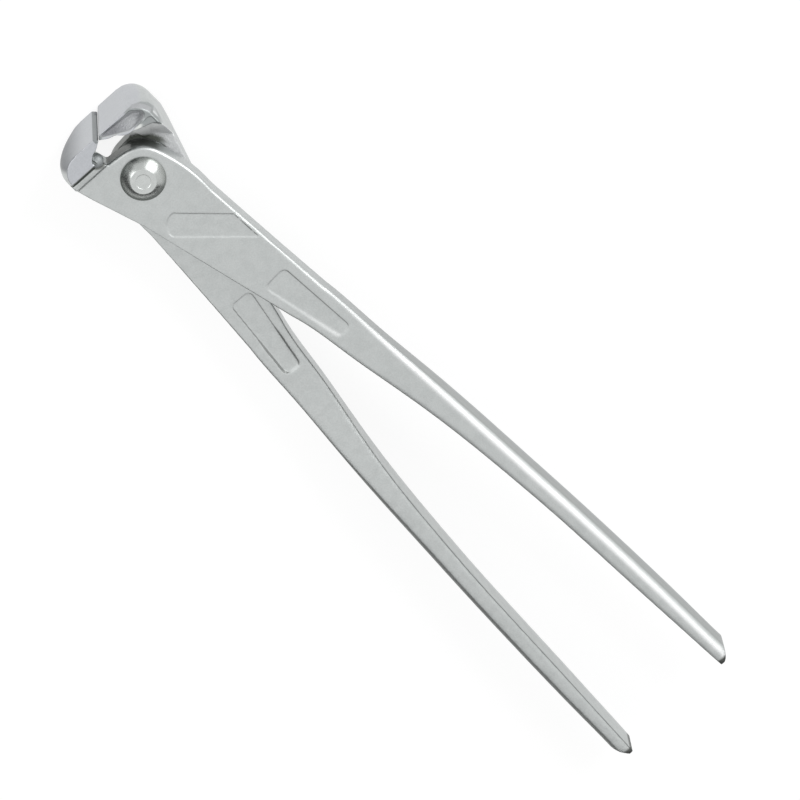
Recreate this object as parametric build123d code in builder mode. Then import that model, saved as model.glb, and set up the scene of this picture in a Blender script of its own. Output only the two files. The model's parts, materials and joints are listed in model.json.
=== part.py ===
import os
from math import cos, hypot, radians, sin, sqrt
from build123d import *

# Rebar tying pliers: two forged levers of one pattern, one turned over, on one rivet.
# The tool lies flat, head along +Y. The origin is under the middle of its footprint.
# Lever points are measured from the pivot axis and from the plane where the levers lap.

# Overall sizes
overall_length = 250.0
jaw_reach = 19.5
head_depth = 25.0
head_half_width = 16.9

# Joint
plate_thickness = 6.8
lap_clearance = 0.1
edge_clearance = 0.1
boss_radius = 9.4
boss_clearance = 0.7
boss_left_angle = 84.0
boss_right_angle = 18.0
boss_round = 1.1

# Rivet
rivet_shank_radius = 4.5
rivet_running_clearance = 0.03
rivet_head_radius = 6.5
rivet_top_radius = 3.6
rivet_head_height = 2.8
rivet_seat_clearance = 0.05
rivet_foot_height = 0.35
rivet_dish_radius = 2.1
rivet_dish_depth = 0.12
rivet_dome_radius = 5.2
rivet_dome_height = 1.7

# Jaw, seen from the front: drops are measured down from the jaw's end
bevel_width = 1.15
bevel_drop = 1.1
edge_land = 0.1
head_corner_radius = 5.7
outer_squeeze = 2.4
front_lap_squeeze = 4.0
rear_lap_squeeze = 0.7
side_spare = 0.1
side_drop = 6.3
jowl_inset = 0.75
jowl_drop = 9.5
lip_offset = 2.4
lip_drop = 2.7
throat_offset = 4.5
throat_drop = 3.4
root_offset = 6.0
root_drop = 4.8
heel_drop = 5.8
window_side_offset = 5.4
window_side_share = 0.5625
window_turn_offset = 4.6
window_turn_rise = 0.5
inner_root_offset = 7.2
inner_root_drop = 5.6

# Knuckle beside the window, on the outer side
knuckle_offset = 5.6
knuckle_drop = 6.2
knuckle_height = 7.5
knuckle_radius = 2.1

# Strip and groove between the plate and the heel
root_start = 5.0
root_start_inset = 2.15
strip_low_height = 7.5
strip_high_height = 7.9
groove_height = 7.2

# Hollow and ledge on the lap side
hollow_start = 6.9
hollow_middle_drop = 7.35
hollow_middle_depth = 6.8
hollow_slant = 18.5
ridge_top_inset = 0.4
ridge_top_drop = 9.4
ridge_foot_inset = 2.9
ridge_foot = 2.0
ridge_turn_offset = 9.0
ridge_turn = 8.0
ledge_low_drop = 5.6
ledge_high_drop = 5.5
ledge_depth = 1.1
ledge_margin = 0.5
ledge_end_round = 1.3

# Scoop in the jaw's lap side, its floor rising to the window
scoop_depth = 2.8
scoop_taper = 30.0
scoop_start_offset = 1.0
scoop_start_drop = 0.3
scoop_high_drop = 0.65
scoop_low_drop = 5.3
scoop_margin = 1.3
scoop_high_turn = 2.4
scoop_end_high_drop = 2.8
scoop_end_low_drop = 4.2
scoop_low_turn = 1.2
mouth_start_offset = 0.2
mouth_start_drop = 1.1
mouth_end_offset = 7.5
mouth_end_drop = 5.1
floor_slope = 31.0

# Plate outline
cheek_offset = 11.8
cheek_drop = 15.7
brow_offset = 10.95
brow_drop = 4.0
flank_offset = 12.8
flank_drop = 31.2
neck_offset = 9.7
neck_drop = 10.6

# Handle
handle_start = 60.0
handle_depth = 10.8
handle_start_inner = 2.2
handle_start_width = 12.7
tip_inner_offset = 18.9
handle_round = 2.2
inner_round = 0.25
front_handle_trim = 4.0
front_tip_curve = 7.5
rear_tip_curve = 10.5
tip_curve_bow = 1.3
tip_flat = 1.5

# Sunken panels, left bare: corners of each, across and down from the pivot
panel_depth = 0.3
panel_round = 1.8
band_upper_left = (-1.1, -13.2)
band_left = (-4.8, -14.6)
band_lower_left = (-6.1, -18.6)
band_lower_right = (11.9, -35.6)
band_upper_right = (11.4, -25.3)
outer_panel = ((2.2, -47.5), (10.6, -47.0), (12.3, -73.3), (7.8, -73.9))
lap_panel = ((2.7, -47.4), (10.1, -47.1), (12.9, -74.0), (7.6, -74.2))

overrun = 2.0

# Places worked out from the sizes above
handle_reach = overall_length - jaw_reach
pivot_height = overall_length / 2 - jaw_reach
half_head = head_depth / 2
lap_face = lap_clearance / 2
edge_face = edge_clearance / 2

# Window side, and the strip and groove, between the boss and the jaw's root and heel
window_turn = boss_radius + window_turn_rise
window_side = window_turn + window_side_share * (jaw_reach - root_drop - window_turn)
step_shares = (0.093, 0.186, 0.5581, 0.6047, 0.7442)
step_rise = jaw_reach - heel_drop - boss_radius
step_places = [boss_radius + share * step_rise for share in step_shares]

# Handle stations, as shares: of the way along the handle, of the inner edge's way out,
# of the width at the start, of the growth in depth and of the back's rounding
station_shares = (0.0, 0.12, 0.235, 0.35, 0.47, 0.585, 0.705, 0.82, 0.91, 1.0)
inner_shares = (0.0, 0.215, 0.413, 0.581, 0.701, 0.790, 0.850, 0.904, 0.952, 1.0)
width_shares = (1.0, 0.835, 0.685, 0.567, 0.50, 0.465, 0.453, 0.429, 0.386, 0.355)
depth_shares = (0.0, 0.05, 0.55, 0.95, 1.0, 1.0, 1.0, 1.0, 1.0, 1.0)
round_shares = (0.34, 0.5, 0.7, 0.88, 1.0, 1.0, 1.0, 1.0, 1.0, 0.9)


def plan_outline():
    """Jaw, root and plate seen from the front, down to where the handle starts."""
    right = radians(boss_right_angle)
    left = radians(boss_left_angle)
    middle = (right + left) / 2
    boss_right = (boss_radius * cos(right), boss_radius * sin(right))
    boss_middle = (boss_radius * cos(middle), boss_radius * sin(middle))
    boss_left = (boss_radius * cos(left), boss_radius * sin(left))
    start_outer = handle_start_inner + handle_start_width
    side = -head_half_width - side_spare
    with BuildSketch(Plane.XY) as outline:
        with BuildLine():
            Line((handle_start_inner, -handle_start), (start_outer, -handle_start))
            ThreePointArc(
                (start_outer, -handle_start),
                (flank_offset, -flank_drop),
                (cheek_offset, -cheek_drop),
            )
            ThreePointArc((cheek_offset, -cheek_drop), (brow_offset, -brow_drop), boss_right)
            ThreePointArc(boss_right, boss_middle, boss_left)
            Polyline(
                boss_left,
                (-window_turn_offset, window_turn),
                (-window_side_offset, window_side),
                (-root_offset, jaw_reach - root_drop),
                (-throat_offset, jaw_reach - throat_drop),
                (-lip_offset, jaw_reach - lip_drop),
                (-edge_face, jaw_reach - bevel_drop - edge_land),
                (-edge_face, jaw_reach - bevel_drop),
                (-bevel_width, jaw_reach),
                (side, jaw_reach),
                (side, jaw_reach - side_drop),
            )
            ThreePointArc(
                (side, jaw_reach - side_drop),
                (jowl_inset - head_half_width, jaw_reach - jowl_drop),
                (root_start_inset - head_half_width, root_start),
            )
            Polyline(
                (root_start_inset - head_half_width, root_start),
                (-neck_offset, -neck_drop),
                (handle_start_inner, -handle_start),
            )
        make_face()
    return outline.sketch


def handle_section(inner, width, low, high, low_round, high_round):
    """The handle's section: flat faces, a rounded back and a sharper inner edge."""
    outer = inner + width
    small = inner_round
    with BuildSketch(Plane.XY) as outline:
        with BuildLine():
            Line((inner, low + small), (inner, high - small))
            RadiusArc((inner, high - small), (inner + small, high), small)
            Line((inner + small, high), (outer - high_round, high))
            RadiusArc((outer - high_round, high), (outer, high - high_round), high_round)
            Line((outer, high - high_round), (outer, low + low_round))
            RadiusArc((outer, low + low_round), (outer - low_round, low), low_round)
            Line((outer - low_round, low), (inner + small, low))
            RadiusArc((inner + small, low), (inner, low + small), small)
        make_face()
    return outline.sketch


def cross_plane(seat, drop):
    """A plane square to the long axis, drop below the pivot."""
    return Plane(
        origin=seat.from_local_coords((0, -drop, 0)),
        x_dir=seat.x_dir,
        z_dir=-seat.y_dir,
    )


def side_plane(seat, offset):
    """A plane square to the tool's width, offset from the pivot."""
    return Plane(
        origin=seat.from_local_coords((offset, 0, 0)),
        x_dir=seat.y_dir,
        z_dir=seat.x_dir,
    )


def forged_lever(seat, bore_radius, trim, tip_curve, lap_squeeze):
    """One forging on the plane of its lap face, jaw to the left, handle to the right."""
    reach = handle_reach - trim
    lap_side = head_half_width - lap_squeeze
    outer_side = head_half_width - outer_squeeze
    lap_share = sqrt(lap_squeeze) / (sqrt(lap_squeeze) + sqrt(outer_squeeze))
    bow_middle = head_depth * lap_share - half_head
    with BuildPart() as lever:
        with BuildSketch(seat.offset(-half_head)):
            add(plan_outline())
        extrude(amount=head_depth)

        # step down to the plate on the outer side, with a strip and a groove below the heel
        with BuildSketch(side_plane(seat, -head_half_width - overrun)):
            with BuildLine():
                Polyline(
                    (-handle_start - overrun, plate_thickness),
                    (step_places[0], plate_thickness),
                    (step_places[1], strip_low_height),
                    (step_places[2], strip_high_height),
                    (step_places[3], groove_height),
                    (step_places[4], groove_height),
                    (jaw_reach - heel_drop, half_head),
                    (jaw_reach - heel_drop, half_head + overrun),
                    (-handle_start - overrun, half_head + overrun),
                    close=True,
                )
            make_face()
        extrude(amount=head_half_width * 2 + overrun, mode=Mode.SUBTRACT)
        with BuildSketch(side_plane(seat, -window_turn_offset)):
            with BuildLine():
                Polyline(
                    (0, plate_thickness),
                    (window_side, plate_thickness),
                    (window_side, half_head),
                    (0, half_head),
                    close=True,
                )
            make_face()
        extrude(amount=boss_radius + window_turn_offset, mode=Mode.SUBTRACT)

        # hollow on the lap side
        slant = radians(hollow_slant)
        hollow_plane = Plane(
            origin=seat.from_local_coords((-window_side_offset, 0, 0)),
            x_dir=seat.y_dir * cos(slant) - seat.x_dir * sin(slant),
            z_dir=seat.x_dir * cos(slant) + seat.y_dir * sin(slant),
        )
        with BuildPart(mode=Mode.PRIVATE) as hollow:
            with BuildSketch(hollow_plane):
                with BuildLine():
                    hollow_foot = -handle_start - head_depth
                    hollow_end = (jaw_reach - ledge_low_drop, -half_head)
                    Line((hollow_foot, lap_face), (hollow_start, lap_face))
                    ThreePointArc(
                        (hollow_start, lap_face),
                        (jaw_reach - hollow_middle_drop, -hollow_middle_depth),
                        hollow_end,
                    )
                    Polyline(
                        hollow_end,
                        (hollow_end[0], -half_head - overrun),
                        (hollow_foot, -half_head - overrun),
                        (hollow_foot, lap_face),
                    )
                make_face()
            extrude(amount=head_half_width * 2, both=True)
            ridge_foot_place = seat.from_local_coords(
                (ridge_foot_inset - head_half_width, ridge_foot, 0)
            )
            ridge_turn_place = seat.from_local_coords((-ridge_turn_offset, ridge_turn, 0))
            ridge_top_place = seat.from_local_coords(
                (ridge_top_inset - head_half_width, jaw_reach - ridge_top_drop, -half_head)
            )
            ridge_plane = Plane(
                origin=ridge_foot_place,
                x_dir=ridge_turn_place - ridge_foot_place,
                z_dir=(ridge_top_place - ridge_foot_place).cross(ridge_turn_place - ridge_foot_place),
            )
            split(bisect_by=ridge_plane, keep=Keep.TOP)
        add(hollow.part, mode=Mode.SUBTRACT)
        with BuildSketch(seat.offset(lap_face)):
            Circle(boss_radius + boss_clearance)
            with BuildLine():
                Polyline(
                    (0, 0),
                    (-inner_root_offset, 0),
                    (-inner_root_offset, jaw_reach - inner_root_drop),
                    (-root_offset, jaw_reach - root_drop),
                    (0, jaw_reach - root_drop),
                    close=True,
                )
            make_face()
        extrude(amount=-half_head - overrun, mode=Mode.SUBTRACT)

        # outer side of the jaw, bowed along the cutting edge, and its rounded corner
        with BuildSketch(cross_plane(seat, -jaw_reach - overrun)):
            with BuildLine():
                ThreePointArc(
                    (-lap_side, -half_head),
                    (-head_half_width, bow_middle),
                    (-outer_side, half_head),
                )
                Polyline(
                    (-outer_side, half_head),
                    (-head_half_width - overrun, half_head),
                    (-head_half_width - overrun, -half_head),
                    (-lap_side, -half_head),
                )
            make_face()
        extrude(amount=jaw_reach + overrun, mode=Mode.SUBTRACT)
        corner_place = seat.from_local_coords((-head_half_width, jaw_reach, bow_middle))
        fillet(lever.edges().sort_by_distance(corner_place)[0], head_corner_radius)

        # ledge below the scoop, closed at its outer end
        ledge_low = jaw_reach - ledge_low_drop - overrun * 2
        ledge_high = jaw_reach - ledge_high_drop
        ledge_end = ledge_margin - lap_side
        with BuildSketch(seat.offset(-half_head)):
            with BuildLine():
                Polyline(
                    (ledge_end + ledge_end_round, ledge_high),
                    (-window_side_offset, ledge_high),
                    (-window_side_offset, ledge_low),
                    (ledge_end, ledge_low),
                    (ledge_end, ledge_high - ledge_end_round),
                )
                RadiusArc(
                    (ledge_end, ledge_high - ledge_end_round),
                    (ledge_end + ledge_end_round, ledge_high),
                    ledge_end_round,
                )
            make_face()
        extrude(amount=ledge_depth, mode=Mode.SUBTRACT)

        # scoop above the ledge
        scoop_end = scoop_margin - lap_side
        with BuildPart(mode=Mode.PRIVATE) as scoop:
            with BuildSketch(seat.offset(-half_head)):
                with BuildLine():
                    Polyline(
                        (-scoop_start_offset, jaw_reach - scoop_start_drop),
                        (scoop_end + scoop_high_turn, jaw_reach - scoop_high_drop),
                        (scoop_end, jaw_reach - scoop_end_high_drop),
                        (scoop_end, jaw_reach - scoop_end_low_drop),
                        (scoop_end + scoop_low_turn, jaw_reach - scoop_low_drop),
                        (-root_offset, jaw_reach - scoop_low_drop),
                        (0, jaw_reach - lip_drop),
                        close=True,
                    )
                make_face()
            extrude(amount=scoop_depth, taper=scoop_taper)
            mouth_run = (
                mouth_start_offset - mouth_end_offset,
                mouth_start_drop - mouth_end_drop,
            )
            slope = radians(floor_slope)
            mouth_length = hypot(*mouth_run)
            floor_normal = (
                seat.x_dir * (mouth_run[1] / mouth_length * sin(slope))
                - seat.y_dir * (mouth_run[0] / mouth_length * sin(slope))
                - seat.z_dir * cos(slope)
            )
            mouth_start = (-mouth_start_offset, jaw_reach - mouth_start_drop, -half_head)
            floor_plane = Plane(
                origin=seat.from_local_coords(mouth_start),
                x_dir=seat.x_dir * mouth_run[0] + seat.y_dir * mouth_run[1],
                z_dir=floor_normal,
            )
            split(bisect_by=floor_plane, keep=Keep.TOP)
        add(scoop.part, mode=Mode.SUBTRACT)

        # knuckle
        knuckle_place = (-knuckle_offset, jaw_reach - knuckle_drop, knuckle_height)
        with Locations(seat.from_local_coords(knuckle_place)):
            Sphere(knuckle_radius)

        # rounding along the boss and the flank
        rounded = []
        for edge in lever.edges():
            place = seat.to_local_coords(edge @ 0.5)
            on_face = abs(place.Z - plate_thickness) < lap_face
            if on_face and place.X > -window_turn_offset / 2 and place.Y > -flank_drop - cheek_drop:
                rounded.append(edge)
        fillet(rounded, boss_round)

        # handle
        handle_run = reach - handle_start
        inner_run = tip_inner_offset - handle_start_inner
        depth_run = handle_depth - plate_thickness + lap_face
        for station, inner_share, width_share, depth_share, round_share in zip(
            station_shares, inner_shares, width_shares, depth_shares, round_shares
        ):
            high_round = round_share * handle_round
            with BuildSketch(cross_plane(seat, handle_start + station * handle_run)):
                add(handle_section(
                    handle_start_inner + inner_share * inner_run,
                    width_share * handle_start_width,
                    lap_face - depth_share * depth_run,
                    plate_thickness,
                    inner_round + depth_share * (high_round - inner_round),
                    high_round,
                ))
        loft()

        # blunt end of the handle
        tip_outer = tip_inner_offset + width_shares[-1] * handle_start_width
        with BuildSketch(seat.offset(-half_head)):
            with BuildLine():
                curve_start = (tip_outer, tip_curve - reach)
                curve_end = (tip_inner_offset + tip_flat, -reach)
                curve_middle = (
                    (curve_start[0] + curve_end[0]) / 2 + tip_curve_bow,
                    (curve_start[1] + curve_end[1]) / 2,
                )
                ThreePointArc(curve_start, curve_middle, curve_end)
                Polyline(
                    curve_end,
                    (curve_end[0], -reach - overrun),
                    (tip_outer + overrun, -reach - overrun),
                    (tip_outer + overrun, curve_start[1]),
                    curve_start,
                )
            make_face()
        extrude(amount=head_depth, mode=Mode.SUBTRACT)

        # sunken panels
        with BuildSketch(seat.offset(plate_thickness - panel_depth)):
            with BuildLine():
                ThreePointArc(band_upper_left, band_left, band_lower_left)
                Polyline(band_lower_left, band_lower_right, band_upper_right, band_upper_left)
            make_face()
            with BuildSketch(mode=Mode.PRIVATE) as outer_shape:
                with BuildLine():
                    Polyline(*outer_panel, close=True)
                make_face()
                fillet(outer_shape.vertices(), panel_round)
            add(outer_shape.sketch_local)
        extrude(amount=overrun, mode=Mode.SUBTRACT)
        with BuildSketch(seat.offset(lap_face + panel_depth)):
            with BuildSketch(mode=Mode.PRIVATE) as lap_shape:
                with BuildLine():
                    Polyline(*lap_panel, close=True)
                make_face()
                fillet(lap_shape.vertices(), panel_round)
            add(lap_shape.sketch_local)
        extrude(amount=-overrun, mode=Mode.SUBTRACT)

        # bore
        with BuildSketch(seat.offset(-overrun)):
            Circle(bore_radius)
        extrude(amount=plate_thickness + 2 * overrun, mode=Mode.SUBTRACT)
    return lever.part


lap_seat = Plane(origin=(0, pivot_height, half_head), x_dir=(1, 0, 0), z_dir=(0, 0, 1))
turned_seat = Plane(origin=(0, pivot_height, half_head), x_dir=(-1, 0, 0), z_dir=(0, 0, -1))

front_bore_radius = rivet_shank_radius + rivet_running_clearance
front_lever = forged_lever(
    lap_seat, front_bore_radius, front_handle_trim, front_tip_curve, front_lap_squeeze
)
rear_lever = forged_lever(turned_seat, rivet_shank_radius, 0, rear_tip_curve, rear_lap_squeeze)

with BuildPart() as pivot_rivet:
    with BuildSketch(Plane(origin=lap_seat.origin, x_dir=(1, 0, 0), z_dir=(0, -1, 0))):
        with BuildLine():
            head_base = plate_thickness + rivet_seat_clearance
            head_top = plate_thickness + rivet_head_height
            dome_height = plate_thickness + rivet_dome_height
            foot_height = head_base + rivet_foot_height
            Polyline(
                (rivet_head_radius, -foot_height),
                (rivet_head_radius, -head_base),
                (rivet_shank_radius, -head_base),
                (rivet_shank_radius, head_base),
                (rivet_head_radius, head_base),
                (rivet_head_radius, foot_height),
            )
            ThreePointArc(
                (rivet_head_radius, foot_height),
                (rivet_dome_radius, dome_height),
                (rivet_top_radius, head_top),
            )
            Polyline(
                (rivet_top_radius, head_top),
                (rivet_dish_radius + rivet_dish_depth, head_top),
                (rivet_dish_radius, head_top - rivet_dish_depth),
                (0, head_top - rivet_dish_depth),
                (0, -head_top + rivet_dish_depth),
                (rivet_dish_radius, -head_top + rivet_dish_depth),
                (rivet_dish_radius + rivet_dish_depth, -head_top),
                (rivet_top_radius, -head_top),
            )
            ThreePointArc(
                (rivet_top_radius, -head_top),
                (rivet_dome_radius, -dome_height),
                (rivet_head_radius, -foot_height),
            )
        make_face()
    revolve(axis=Axis(lap_seat.origin, (0, 0, 1)))

os.makedirs("parts", exist_ok=True)
front_lever.label = "front_lever"
rear_lever.label = "rear_lever"
pivot_rivet.part.label = "pivot_rivet"
export_step(front_lever, "parts/front_lever.step")
export_step(rear_lever, "parts/rear_lever.step")
export_step(pivot_rivet.part, "parts/pivot_rivet.step")
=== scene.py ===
import bpy
import json
from math import pi, radians
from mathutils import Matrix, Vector

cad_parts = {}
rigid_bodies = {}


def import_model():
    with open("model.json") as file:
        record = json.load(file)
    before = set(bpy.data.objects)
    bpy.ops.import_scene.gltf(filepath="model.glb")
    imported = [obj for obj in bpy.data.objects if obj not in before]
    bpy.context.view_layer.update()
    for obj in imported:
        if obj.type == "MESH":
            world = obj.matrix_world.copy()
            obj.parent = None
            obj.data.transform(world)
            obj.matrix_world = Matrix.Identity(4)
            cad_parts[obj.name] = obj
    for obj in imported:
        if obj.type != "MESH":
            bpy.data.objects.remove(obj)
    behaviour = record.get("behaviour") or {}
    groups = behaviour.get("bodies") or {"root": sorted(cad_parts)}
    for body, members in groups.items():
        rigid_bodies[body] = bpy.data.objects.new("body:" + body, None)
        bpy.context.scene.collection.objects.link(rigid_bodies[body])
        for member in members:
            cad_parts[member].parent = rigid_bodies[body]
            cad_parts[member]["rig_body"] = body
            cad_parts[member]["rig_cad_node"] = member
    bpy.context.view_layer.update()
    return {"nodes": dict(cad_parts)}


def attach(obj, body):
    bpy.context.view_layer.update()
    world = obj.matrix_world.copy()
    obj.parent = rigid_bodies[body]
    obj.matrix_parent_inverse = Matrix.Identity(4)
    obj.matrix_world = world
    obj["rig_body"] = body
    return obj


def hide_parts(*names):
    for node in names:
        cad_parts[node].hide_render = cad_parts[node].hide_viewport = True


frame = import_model()
bpy.ops.object.select_all(action="DESELECT")
print("frame loaded:", sorted(frame["nodes"]))

mm = 0.001
pivot = Vector((0, 105.5, 12.5)) * mm  # middle of the joint, from the CAD


def selectOnly(piece):
    bpy.ops.object.select_all(action="DESELECT")
    piece.select_set(True)
    bpy.context.view_layer.objects.active = piece


def pickFaces(piece, test):  # selects faces by place and normal, in edit mode
    bpy.ops.mesh.select_mode(type="FACE")
    bpy.ops.mesh.select_all(action="DESELECT")
    bpy.ops.object.mode_set(mode="OBJECT")
    for face in piece.data.polygons:
        face.select = test(face)
    bpy.ops.object.mode_set(mode="EDIT")


def settle(piece):  # place into the mesh, object back at the origin
    selectOnly(piece)
    bpy.ops.object.transform_apply(location=True, rotation=True, scale=True)


def addNode(tree, kind, place, **inputs):
    node = tree.nodes.new(kind)
    node.location = place
    for name, value in inputs.items():
        node.inputs[name.replace("_", " ")].default_value = value
    return node


def link(tree, start, end):
    tree.links.new(start, end)


def mathNode(tree, operation, first, second=None, clamp=False):
    node = tree.nodes.new("ShaderNodeMath")
    node.operation = operation
    node.use_clamp = clamp
    for slotIndex, value in enumerate((first, second)):
        if value is None:
            continue
        if isinstance(value, (int, float)):
            node.inputs[slotIndex].default_value = value
        else:
            link(tree, value, node.inputs[slotIndex])
    return node.outputs[0]


def ramp(tree, value, low, high, toLow=0.0, toHigh=1.0):  # smooth step between two places
    node = tree.nodes.new("ShaderNodeMapRange")
    node.interpolation_type = "SMOOTHSTEP"
    node.inputs["From Min"].default_value = low
    node.inputs["From Max"].default_value = high
    node.inputs["To Min"].default_value = toLow
    node.inputs["To Max"].default_value = toHigh
    link(tree, value, node.inputs["Value"])
    return node.outputs["Result"]


def noise(tree, vector, scale, detail, roughness, distortion=0.0):
    node = tree.nodes.new("ShaderNodeTexNoise")
    node.inputs["Scale"].default_value = scale
    node.inputs["Detail"].default_value = detail
    node.inputs["Roughness"].default_value = roughness
    node.inputs["Distortion"].default_value = distortion
    link(tree, vector, node.inputs["Vector"])
    return node.outputs["Fac"]


def mixColour(tree, share, first, second):
    node = tree.nodes.new("ShaderNodeMix")
    node.data_type = "RGBA"
    if isinstance(share, (int, float)):
        node.inputs["Factor"].default_value = share
    else:
        link(tree, share, node.inputs["Factor"])
    for name, value in (("A", first), ("B", second)):
        socket = [s for s in node.inputs if s.name == name and s.type == "RGBA"][0]
        if isinstance(value, tuple):
            socket.default_value = (*value, 1)
        else:
            link(tree, value, socket)
    return [s for s in node.outputs if s.type == "RGBA"][0]


def startSteel(name, side):  # metal shader, with places in millimetres from the pivot
    material = bpy.data.materials.new(name)
    material.use_nodes = True
    tree = material.node_tree
    tree.nodes.clear()
    output = addNode(tree, "ShaderNodeOutputMaterial", (1400, 0))
    shader = addNode(tree, "ShaderNodeBsdfPrincipled", (1100, 0), Metallic=1.0)
    link(tree, shader.outputs[0], output.inputs["Surface"])
    texture = addNode(tree, "ShaderNodeTexCoord", (-1600, 0))
    mapping = addNode(tree, "ShaderNodeMapping", (-1400, 0))
    mapping.inputs["Scale"].default_value = (side / mm, 1 / mm, side / mm)
    mapping.inputs["Location"].default_value = (0, -pivot.y / mm, -side * pivot.z / mm)
    link(tree, texture.outputs["Object"], mapping.inputs["Vector"])
    return material, tree, shader, texture, mapping.outputs[0]


def finishBump(tree, shader, height, normal=None):
    bump = addNode(tree, "ShaderNodeBump", (900, -400), Strength=1.0, Distance=mm)
    link(tree, height, bump.inputs["Height"])
    if normal is not None:
        link(tree, normal, bump.inputs["Normal"])
    link(tree, bump.outputs[0], shader.inputs["Normal"])


forging = {
    # skin of the levers
    "merge": 0.002 * mm,
    "grid": 0.25 * mm,  # how fine the skin is
    "quickGrid": 0.35 * mm,
    "soften": 0.5,
    "passes": 4,
    "triangles": 190000,
    "roundStart": 0.6 * mm,  # rounding of the handles' edges, near the head and at the tips
    "roundRadius": 2.5 * mm,
    "roundSamples": 6,
    # colours
    "plate": (0.52, 0.54, 0.535),  # bright zinc over the forging
    "plateDark": (0.49, 0.51, 0.505),
    "ground": (0.49, 0.505, 0.53),  # bare ground jaw faces, a little blue
    "endFace": (0.50, 0.515, 0.535),
    # painted shade on the front jaw's end face, towards its outer side
    "endFacePaintedShade": (0.16, 0.17, 0.18),
    # painted shade on the jaw's bevel facet
    "bevel": (0.26, 0.275, 0.28),
    "corner": (0.33, 0.35, 0.35),
    # painted shade in the scoop, darker on its inner side
    "scoopShadedSide": (0.26, 0.265, 0.28),
    "scoopLitSide": (0.46, 0.47, 0.48),
    "pocket": (0.58, 0.59, 0.595),
    "pocketPaintedLight": (0.82, 0.83, 0.835),  # painted light, lighter right under the ledge
    # painted shade on the lap face near the boss
    "bossPaintedShade": (0.10, 0.11, 0.095),
    "shade": (0.22, 0.23, 0.22),  # painted shade in the groove, against the boss and window walls and round the knuckle
    # painted highlight along the lap face's outer rim
    "rimPaintedHighlight": (0.88, 0.89, 0.89),
    "knuckle": (0.38, 0.40, 0.405),
    # painted light on the ledge
    "ledge": (0.76, 0.78, 0.76),
    # painted shade as dark lines along the handles' edges
    "edge": (0.24, 0.25, 0.245),
    # painted shade on the handles' outer flank
    "flank": (0.38, 0.395, 0.39),
    # painted highlight along the round outer edge of the handles
    "paintedShine": (0.88, 0.89, 0.89),
    # painted shade at the handles' tips
    "tipPaintedShade": (0.12, 0.125, 0.12),
    # roughness
    "plateRoughness": 0.36,
    "groundRoughness": 0.30,
    "roughRoughness": 0.62,
    "cloudRoughness": 0.04,
    "tipRoughness": 0.10,
    # depth of the bumps in millimetres
    "pitShare": 0.6,
    "speckleShare": 0.4,
    "dullDepth": 0.28,
    "skinDepth": 0.035,
    "tipDepth": 0.10,
    "groundFaint": 0.8,
    # patterns: scale per millimetre, detail, roughness, distortion
    "specklePattern": (2.2, 3.0, 0.6),
    "cloudPattern": (0.35, 4.0, 0.55, 0.3),
    "pitPattern": (1.1, 5.0, 0.65),
    "wander": 3.0,
    "bossShadeWander": 0.35,
    # places in millimetres from the pivot
    "knucklePlace": (-5.6, 13.3, 7.5),
    "frontEnd": -226.5,
    "rearEnd": -230.5,
    # where each finish starts and where it is full: places in millimetres, or a normal's share
    "jawStart": (13.2, 13.8),
    "endFacing": (0.55, 0.8),
    "endShadeReach": (3.0, 14.5),
    "groundHeight": (12.2, 12.4),
    "bevelSide": (1.3, 1.15),
    "bevelStart": (18.0, 18.25),
    "cornerReach": (22.6, 23.8),
    "cornerStart": (8.0, 11.0),
    "lapFacing": (0.0, 0.2),
    "outsideBoss": (9.5, 9.8),
    "openDepth": (10.8, 10.4),
    "bossShadeReach": (11.8, 10.5),
    "bossShadeStart": (0.0, 4.0),
    "pocketPaintedLightStart": (6.5, 10.5),
    "scoopShadeFade": (4.0, 11.5),
    "ledgeDepth": (10.9, 11.2),
    "ledgeFacing": (0.6, 0.9),
    "bossStart": (2.0, 5.0),
    "windowFacing": (0.3, 0.6),
    "rimFacing": (0.25, 0.45),
    "rimDepth": (6.0, 4.0),
    "knuckleReach": (2.35, 2.15),
    "creviceReach": (3.2, 2.6),
    "creviceHeight": (12.3, 11.6),
    "handleStart": (-22.0, -32.0),
    "flatFacing": (0.3, 0.5),
    "innerFacing": (0.25, 0.45),
    "outerFacing": (-0.25, -0.45),
    "frontFacing": (-0.3, -0.5),
    "flankFacing": (-0.4, -0.7),
    "flankSteep": (0.5, 0.2),
    "roundGrowth": (-30.0, -110.0),
    "roundBlend": (-32.0, -60.0),
    "roundedStart": (-45.0, -95.0),
    "tipReach": (2.0, 1.0),
    "tipward": (-70.0, -200.0),
    "cloudColour": (0.35, 0.7),
    "cloudGloss": (0.3, 0.7),
    "grain": (0.25, 0.75, 0.94, 1.06),
    "lessMetal": (0.0, 1.0, 1.0, 0.45),
    # from, to and softness of the finishes that lie between two places
    "pocketAlong": (-9.0, 13.4, 0.5),
    "scoopAlong": (14.6, 18.8, 0.4),
    "scoopDepth": (9.2, 12.1, 0.2),
    "ledgeAlong": (10.0, 13.8, 0.3),
    "bossRadius": (9.1, 9.7, 0.15),
    "windowAlong": (9.0, 10.2, 0.2),
    "windowSide": (-1.2, 4.9, 0.3),
    "wallHeight": (0.2, 5.0, 1.0),
    "grooveAlong": (12.0, 12.9, 0.25),
    "grooveHeight": (6.9, 8.6, 0.4),
    "rimAlong": (2.0, 11.5, 1.0),
    "shineFacing": (0.24, 0.52, 0.20),
}


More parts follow.
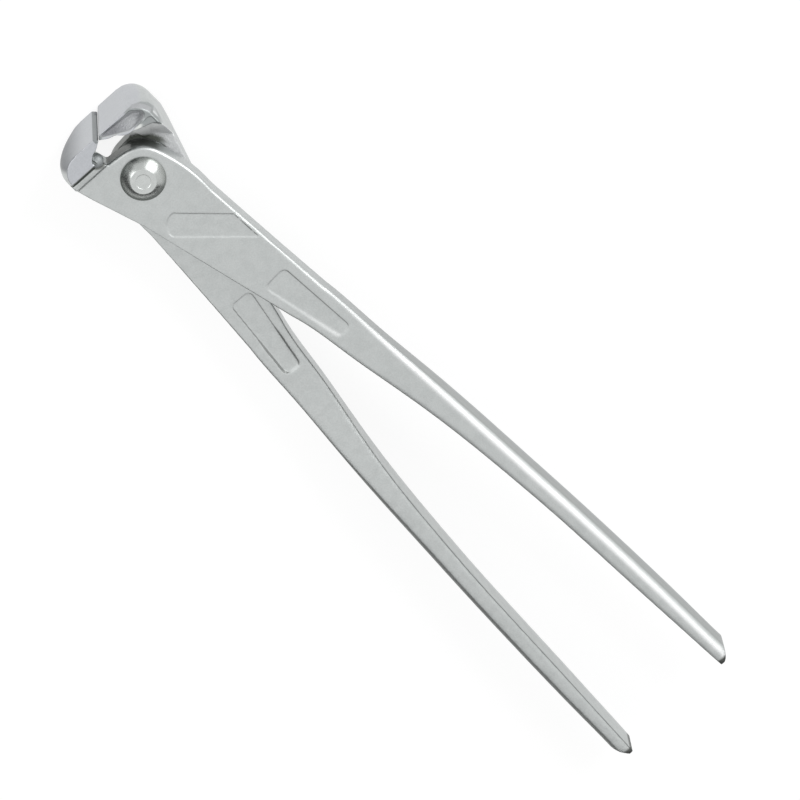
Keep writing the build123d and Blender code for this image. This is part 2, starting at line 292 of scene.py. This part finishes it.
def forgedSteel(name, turned):
    side = -1 if turned else 1
    material, tree, shader, texture, place = startSteel(name, side)

    def times(*values):
        product = values[0]
        for value in values[1:]:
            product = mathNode(tree, "MULTIPLY", product, value)
        return product

    def plus(first, second):
        return mathNode(tree, "ADD", first, second)

    def most(first, second):
        return mathNode(tree, "MAXIMUM", first, second)

    def past(value, mark):
        return ramp(tree, value, *forging[mark])

    def within(value, mark):
        low, high, soft = forging[mark]
        rising = ramp(tree, value, low - soft, low)
        return times(rising, ramp(tree, value, high + soft, high))

    def paint(mask, under, over):
        return mixColour(tree, mask, under, over)

    # lever coordinates in millimetres: jaw at -X, handle at +X, outer side at +Z
    split = addNode(tree, "ShaderNodeSeparateXYZ", (-1200, 0))
    link(tree, place, split.inputs[0])
    across, along, out = split.outputs
    splitNormal = addNode(tree, "ShaderNodeSeparateXYZ", (-1200, -300))
    link(tree, texture.outputs["Normal"], splitNormal.inputs[0])
    normalOutward = times(splitNormal.outputs[0], -side)
    normalAlong = splitNormal.outputs[1]
    normalLap = times(splitNormal.outputs[2], -side)
    standing = mathNode(tree, "ABSOLUTE", normalLap)
    height = mathNode(tree, "ABSOLUTE", out)
    outward = times(across, -1.0)
    lapward = times(out, -1.0)
    radius = mathNode(tree, "SQRT", plus(times(across, across), times(along, along)))

    speckle = noise(tree, place, *forging["specklePattern"])
    cloud = noise(tree, place, *forging["cloudPattern"])
    pits = noise(tree, place, *forging["pitPattern"])
    wander = times(mathNode(tree, "SUBTRACT", pits, 0.5), forging["wander"])

    # the ground jaw, its bevel facet with painted shade and its mottled outer corner
    jaw = past(along, "jawStart")
    endFace = times(past(normalAlong, "endFacing"), jaw)
    groundFace = times(past(height, "groundHeight"), jaw)
    bevel = times(past(outward, "bevelSide"), past(along, "bevelStart"))
    corner = times(past(plus(plus(outward, lapward), wander), "cornerReach"),
                   past(along, "cornerStart"))

    # the hollow between jaw and boss, its painted shade near the boss, the scoop and the ledge
    openLap = times(past(normalLap, "lapFacing"), past(radius, "outsideBoss"),
                    past(lapward, "openDepth"))
    pocket = times(openLap, within(along, "pocketAlong"))
    # painted shade on the open lap face round the boss
    bossShadeRadius = plus(radius, times(wander, forging["bossShadeWander"]))
    bossPaintedShade = times(openLap, past(bossShadeRadius, "bossShadeReach"), past(along, "bossShadeStart"))
    scoop = times(within(along, "scoopAlong"), within(lapward, "scoopDepth"))
    # painted light on the ledge's floor
    ledge = times(within(along, "ledgeAlong"), past(lapward, "ledgeDepth"),
                  past(normalLap, "ledgeFacing"))
    dull = mathNode(tree, "MAXIMUM", pocket, scoop, clamp=True)

    # painted shade on the walls of boss and window, in the groove and round the knuckle
    bossWall = times(within(radius, "bossRadius"), past(along, "bossStart"))
    windowWall = times(within(along, "windowAlong"), within(outward, "windowSide"),
                       past(normalAlong, "windowFacing"))
    bossWall = times(most(bossWall, windowWall), within(out, "wallHeight"))
    groove = times(within(along, "grooveAlong"), within(out, "grooveHeight"))
    toKnuckle = tree.nodes.new("ShaderNodeVectorMath")
    toKnuckle.operation = "DISTANCE"
    toKnuckle.inputs[1].default_value = forging["knucklePlace"]
    link(tree, place, toKnuckle.inputs[0])
    knuckleDistance = toKnuckle.outputs["Value"]
    knuckle = past(knuckleDistance, "knuckleReach")
    crevice = times(past(knuckleDistance, "creviceReach"), past(out, "creviceHeight"))
    paintedCornerShade = most(most(bossWall, groove), crevice)
    # painted highlight along the outer rim of the lap face
    rim = times(past(normalLap, "rimFacing"), past(normalOutward, "rimFacing"))
    rim = times(rim, within(along, "rimAlong"), past(lapward, "rimDepth"))

    # the handles' edges are rounder than the mesh, wider towards the tips
    rounding = addNode(tree, "ShaderNodeBevel", (-1000, -600))
    rounding.samples = forging["roundSamples"]
    spread = ramp(tree, along, *forging["roundGrowth"], forging["roundStart"],
                  forging["roundRadius"])
    link(tree, spread, rounding.inputs["Radius"])
    plain = addNode(tree, "ShaderNodeNewGeometry", (-1000, -800))
    eased = addNode(tree, "ShaderNodeMix", (-800, -800))
    eased.data_type = "VECTOR"
    link(tree, past(along, "roundBlend"), eased.inputs[0])
    link(tree, plain.outputs["Normal"], eased.inputs[4])
    link(tree, rounding.outputs[0], eased.inputs[5])
    toObject = addNode(tree, "ShaderNodeVectorTransform", (-800, -600))
    toObject.vector_type = "NORMAL"
    toObject.convert_from = "WORLD"
    toObject.convert_to = "OBJECT"
    link(tree, eased.outputs[1], toObject.inputs[0])
    splitRound = addNode(tree, "ShaderNodeSeparateXYZ", (-600, -600))
    link(tree, toObject.outputs[0], splitRound.inputs[0])

    # painted shade as dark edge lines, a painted highlight along the round edge, painted shade on
    # the flank beside it and at the tip
    innerEdge = times(past(normalOutward, "innerFacing"), past(standing, "flatFacing"))
    outerEdge = times(past(normalOutward, "outerFacing"), past(normalLap, "flatFacing"))
    edge = times(most(innerEdge, outerEdge), past(along, "handleStart"))
    rounded = past(along, "roundedStart")
    paintedShine = times(within(times(splitRound.outputs[0], side), "shineFacing"),
                  past(normalLap, "frontFacing"), rounded)
    flank = times(past(standing, "flankSteep"), past(normalOutward, "flankFacing"), rounded)
    tipEnd = forging["rearEnd"] if turned else forging["frontEnd"]
    tipFrom, tipFull = forging["tipReach"]
    tipPaintedShade = ramp(tree, along, tipEnd + tipFrom, tipEnd + tipFull)

    # painted shade: the front jaw's end face darker towards its outer side
    paintedEndShade = past(outward, "endShadeReach") if not turned else 0.0
    endColour = paint(paintedEndShade, forging["endFace"], forging["endFacePaintedShade"])
    # painted light in the pocket, lighter towards the ledge
    pocketWithPaintedLight = paint(past(along, "pocketPaintedLightStart"), forging["pocket"], forging["pocketPaintedLight"])
    # painted shade: the scoop darker on its inner side, lighter on its outer side
    scoopPaintedShade = paint(past(outward, "scoopShadeFade"), forging["scoopShadedSide"], forging["scoopLitSide"])
    colour = paint(past(cloud, "cloudColour"), forging["plate"], forging["plateDark"])
    for mask, over in (
        (ledge, forging["ledge"]),
        (groundFace, forging["ground"]),
        (endFace, endColour),
        (corner, forging["corner"]),
        (bevel, forging["bevel"]),
        (pocket, pocketWithPaintedLight),
        (scoop, scoopPaintedShade),
        (bossPaintedShade, forging["bossPaintedShade"]),
        (paintedCornerShade, forging["shade"]),
        (knuckle, forging["knuckle"]),
        (rim, forging["rimPaintedHighlight"]),
        (edge, forging["edge"]),
        (flank, forging["flank"]),
        (paintedShine, forging["paintedShine"]),
        (tipPaintedShade, forging["tipPaintedShade"]),
    ):
        colour = paint(mask, colour, over)
    vary = addNode(tree, "ShaderNodeVectorMath", (700, 200))
    vary.operation = "SCALE"
    link(tree, colour, vary.inputs[0])
    link(tree, past(speckle, "grain"), vary.inputs["Scale"])
    link(tree, vary.outputs[0], shader.inputs["Base Color"])

    # rougher towards the tips and in the unground hollows, which are less metallic
    link(tree, past(pocket, "lessMetal"), shader.inputs["Metallic"])
    low = forging["plateRoughness"]
    clouded = ramp(tree, cloud, *forging["cloudGloss"], low, low + forging["cloudRoughness"])
    gloss = plus(clouded, ramp(tree, along, *forging["tipward"], 0.0, forging["tipRoughness"]))
    gloss = plus(gloss, times(most(dull, knuckle), forging["roughRoughness"] - low))
    gloss = plus(gloss, times(groundFace, forging["groundRoughness"] - low))
    link(tree, gloss, shader.inputs["Roughness"])

    # forging skin, coarse in the hollows and faint on the ground faces
    relief = plus(times(pits, forging["pitShare"]), times(speckle, forging["speckleShare"]))
    skin = ramp(tree, along, *forging["tipward"], forging["skinDepth"], forging["tipDepth"])
    depth = plus(times(dull, forging["dullDepth"]), skin)
    faint = mathNode(tree, "SUBTRACT", 1.0, times(groundFace, forging["groundFaint"]))
    finishBump(tree, shader, times(relief, times(depth, faint)), eased.outputs[1])
    return material


def finishForging(nodeName, pieceName, body, material):
    source = frame["nodes"][nodeName]
    selectOnly(source)
    bpy.ops.object.duplicate()  # the finished skin starts from a copy of the solid
    piece = bpy.context.object
    piece.name = pieceName
    piece.parent = None
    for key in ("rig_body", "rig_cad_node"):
        del piece[key]
    bpy.ops.object.mode_set(mode="EDIT")
    bpy.ops.mesh.select_all(action="SELECT")
    bpy.ops.mesh.remove_doubles(threshold=forging["merge"])
    bpy.ops.object.mode_set(mode="OBJECT")
    bpy.ops.mesh.customdata_custom_splitnormals_clear()
    skin = piece.modifiers.new("skin", "REMESH")
    skin.mode = "VOXEL"
    skin.voxel_size = forging["grid"]
    bpy.ops.object.modifier_apply(modifier="skin")
    soft = piece.modifiers.new("soft", "SMOOTH")
    soft.factor = forging["soften"]
    soft.iterations = forging["passes"]
    bpy.ops.object.modifier_apply(modifier="soft")
    triangles = 2 * len(piece.data.polygons)
    if triangles > forging["triangles"]:
        fewer = piece.modifiers.new("fewer", "DECIMATE")
        fewer.ratio = forging["triangles"] / triangles
        bpy.ops.object.modifier_apply(modifier="fewer")
    bpy.ops.object.shade_smooth()
    piece.data.materials.clear()
    piece.data.materials.append(material)
    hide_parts(nodeName)
    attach(piece, body)
    print(pieceName, len(piece.data.polygons), "faces")


finishForging("front_lever", "front_forging", "front_half", forgedSteel("frontSteel", False))
finishForging("rear_lever", "rear_forging", "rear_half", forgedSteel("rearSteel", True))


rivet = {
    "sides": 128,
    "shank": 4.5 * mm,
    "seat": 6.85 * mm,  # height of the head's underside above the lap
    "nearSeat": 0.99,
    "foot": 0.35 * mm,
    "head": 6.5 * mm,
    "top": 3.6 * mm,
    "rise": 9.6 * mm,
    "rings": 8,
    "bulge": 0.22 * mm,
    "dish": 2.1 * mm,
    "dishDepth": 0.12 * mm,
    "edgeWidth": 0.12 * mm,
    "edgeSteps": 3,
    "edgeAngle": 25,
    "smoothAngle": 50,
    "bright": (0.58, 0.60, 0.59),
    "dull": (0.53, 0.55, 0.54),
    # painted shade on the head's slope and edge
    "rivetPaintedShade": (0.26, 0.275, 0.26),
    "cloudPattern": (0.7, 4.0, 0.55),
    "finePattern": (4.0, 3.0, 0.6),
    "clouding": (0.3, 0.7),
    "slope": (3.5, 3.9),  # from the flat top to the slope, in millimetres from the middle
    "rivetSideShade": (1.0, -5.0, 0.30, 0.62),
    "edgeWear": (4.6, 6.4, 0.0, 0.45),
    "roughness": (0.3, 0.7, 0.22, 0.30),
    "skinDepth": 0.02,
}


def rivetSteel():
    material, tree, shader, texture, place = startSteel("rivetSteel", 1)
    cloud = noise(tree, place, *rivet["cloudPattern"])
    fine = noise(tree, place, *rivet["finePattern"])
    clouding = ramp(tree, cloud, *rivet["clouding"])
    colour = mixColour(tree, clouding, rivet["bright"], rivet["dull"])
    split = addNode(tree, "ShaderNodeSeparateXYZ", (-1200, 0))
    link(tree, place, split.inputs[0])
    across = mathNode(tree, "MULTIPLY", split.outputs[0], split.outputs[0])
    along = mathNode(tree, "MULTIPLY", split.outputs[1], split.outputs[1])
    radius = mathNode(tree, "SQRT", mathNode(tree, "ADD", across, along))
    rivetSideShade = ramp(tree, split.outputs[0], *rivet["rivetSideShade"])
    rivetShade = mathNode(tree, "MULTIPLY", ramp(tree, radius, *rivet["slope"]), rivetSideShade)
    rivetShade = mathNode(tree, "ADD", rivetShade, ramp(tree, radius, *rivet["edgeWear"]))
    colour = mixColour(tree, rivetShade, colour, rivet["rivetPaintedShade"])  # painted shade, darker on the head's slope towards its -X side and towards its edge
    link(tree, colour, shader.inputs["Base Color"])
    link(tree, ramp(tree, fine, *rivet["roughness"]), shader.inputs["Roughness"])
    finishBump(tree, shader, mathNode(tree, "MULTIPLY", fine, rivet["skinDepth"]))
    return material


def makeRivet():
    bpy.ops.mesh.primitive_cylinder_add(
        vertices=rivet["sides"], radius=rivet["shank"], depth=2 * rivet["seat"], location=pivot
    )
    piece = bpy.context.object
    piece.name = "rivet"
    settle(piece)
    endHeight = rivet["nearSeat"] * rivet["seat"]
    foot = rivet["seat"] + rivet["foot"]
    rings = [(rivet["head"], rivet["seat"])]
    for step in range(rivet["rings"] + 1):
        share = step / rivet["rings"]
        radius = rivet["head"] + (rivet["top"] - rivet["head"]) * share
        bulge = rivet["bulge"] * 4 * share * (1 - share)
        rings.append((radius, foot + (rivet["rise"] - foot) * share + bulge))
    rings.append((rivet["dish"] + rivet["dishDepth"], rivet["rise"]))
    rings.append((rivet["dish"], rivet["rise"] - rivet["dishDepth"]))
    for up in (1, -1):
        bpy.ops.object.mode_set(mode="EDIT")
        pickFaces(piece, lambda face: (face.center.z - pivot.z) * up > endHeight)
        lastRadius, lastHeight = rivet["shank"], rivet["seat"]
        for radius, height in rings:
            lift = (0, 0, up * (height - lastHeight))
            bpy.ops.mesh.extrude_region_move(TRANSFORM_OT_translate={"value": lift})
            grow = radius / lastRadius
            bpy.ops.transform.resize(value=(grow, grow, 1), center_override=pivot)
            lastRadius, lastHeight = radius, height
        bpy.ops.object.mode_set(mode="OBJECT")
    selectOnly(piece)
    bevel = piece.modifiers.new("edges", "BEVEL")
    bevel.width = rivet["edgeWidth"]
    bevel.segments = rivet["edgeSteps"]
    bevel.limit_method = "ANGLE"
    bevel.angle_limit = radians(rivet["edgeAngle"])
    bpy.ops.object.modifier_apply(modifier="edges")
    bpy.ops.object.shade_smooth_by_angle(angle=radians(rivet["smoothAngle"]))
    piece.data.materials.append(rivetSteel())
    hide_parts("pivot_rivet")
    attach(piece, "rear_half")
    print("rivet", len(piece.data.polygons), "faces")


makeRivet()


studio = {
    "floorSize": 12.0,
    "floorColour": (0.90, 0.90, 0.90, 1),
    "whiteShare": 0.80,
    "whiteStrength": 1.07,
    "skyLight": 0.70,
    "lampDistance": 1.2,
    "keyDirection": (0.80, 0.15, 0.50),
    "keySize": 0.7,
    "keyPower": 7.0,
    "topDirection": (-0.35, 0.60, 0.70),
    "topSize": 0.5,
    "topPower": 1.6,
    "cardRadius": 0.7,
    "cardFrom": 95,
    "cardTo": 285,
    "cardLow": 0.03,
    "cardHigh": 0.36,
    "cardSides": 96,
    "cardColour": (0.02, 0.02, 0.02, 1),
}


def seenDirectly(tree):  # camera, mirror and see-through rays
    path = tree.nodes.new("ShaderNodeLightPath")
    both = mathNode(tree, "MAXIMUM", path.outputs["Is Camera Ray"], path.outputs["Is Glossy Ray"])
    return mathNode(tree, "MAXIMUM", both, path.outputs["Is Transmission Ray"])


def makeFloor():
    bpy.ops.mesh.primitive_plane_add(size=studio["floorSize"], location=(0, 0, 0))
    floor = bpy.context.object
    floor.name = "floor"
    material = bpy.data.materials.new("paperFloor")
    material.use_nodes = True
    tree = material.node_tree
    tree.nodes.clear()
    output = tree.nodes.new("ShaderNodeOutputMaterial")
    paper = tree.nodes.new("ShaderNodeBsdfDiffuse")
    paper.inputs["Color"].default_value = studio["floorColour"]
    white = tree.nodes.new("ShaderNodeEmission")
    white.inputs["Strength"].default_value = studio["whiteStrength"]
    mix = tree.nodes.new("ShaderNodeMixShader")
    share = mathNode(tree, "MULTIPLY", seenDirectly(tree), studio["whiteShare"])
    link(tree, share, mix.inputs["Fac"])
    link(tree, paper.outputs[0], mix.inputs[1])
    link(tree, white.outputs[0], mix.inputs[2])
    link(tree, mix.outputs[0], output.inputs["Surface"])
    floor.data.materials.append(material)


def makeSky():
    world = bpy.data.worlds.new("studio")
    bpy.context.scene.world = world
    world.use_nodes = True
    tree = world.node_tree
    background = tree.nodes["Background"]
    background.inputs["Color"].default_value = (1, 1, 1, 1)
    strength = mathNode(tree, "MULTIPLY", seenDirectly(tree), 1 - studio["skyLight"])
    link(tree, mathNode(tree, "ADD", strength, studio["skyLight"]), background.inputs["Strength"])


def makeLamp(name, direction, size, power):
    direction = Vector(direction).normalized()
    turn = direction.to_track_quat("Z", "Y").to_euler()
    place = direction * studio["lampDistance"]
    bpy.ops.object.light_add(type="AREA", location=place, rotation=turn)
    lamp = bpy.context.object
    lamp.name = name
    lamp.data.shape = "SQUARE"
    lamp.data.size = size
    lamp.data.energy = power


def makeCard():  # dark card round the far side, that only the steel reflects
    bpy.ops.mesh.primitive_circle_add(
        vertices=studio["cardSides"], radius=studio["cardRadius"],
        location=(0, 0, studio["cardLow"]),
    )
    card = bpy.context.object
    card.name = "card"
    settle(card)
    bpy.ops.object.mode_set(mode="EDIT")
    bpy.ops.mesh.select_mode(type="VERT")
    bpy.ops.mesh.select_all(action="SELECT")
    rise = studio["cardHigh"] - studio["cardLow"]
    bpy.ops.mesh.extrude_region_move(TRANSFORM_OT_translate={"value": (0, 0, rise)})

    def outsideArc(face):
        angle = Vector((1, 0)).angle_signed(face.center.xy) * -180 / pi % 360
        return not studio["cardFrom"] < angle < studio["cardTo"]

    pickFaces(card, outsideArc)
    bpy.ops.mesh.delete(type="FACE")
    bpy.ops.object.mode_set(mode="OBJECT")
    material = bpy.data.materials.new("blackCard")
    material.use_nodes = True
    surface = material.node_tree.nodes["Principled BSDF"]
    surface.inputs["Base Color"].default_value = studio["cardColour"]
    card.data.materials.append(material)
    card.visible_camera = False
    card.visible_diffuse = False
    card.visible_shadow = False


makeFloor()
makeSky()
makeLamp("key", studio["keyDirection"], studio["keySize"], studio["keyPower"])
makeLamp("top", studio["topDirection"], studio["topSize"], studio["topPower"])
makeCard()

view = {
    "location": (0.37716, 0.55127, 1.63131),
    "turn": (-22.0004, -3.3338, -42.3446),
    "lens": 273.71,
}
turn = [radians(angle) for angle in view["turn"]]
bpy.ops.object.camera_add(location=view["location"], rotation=turn)
camera = bpy.context.object
camera.data.lens = view["lens"]
bpy.context.scene.camera = camera
bpy.context.scene.view_settings.view_transform = "Standard"
print("studio ready")
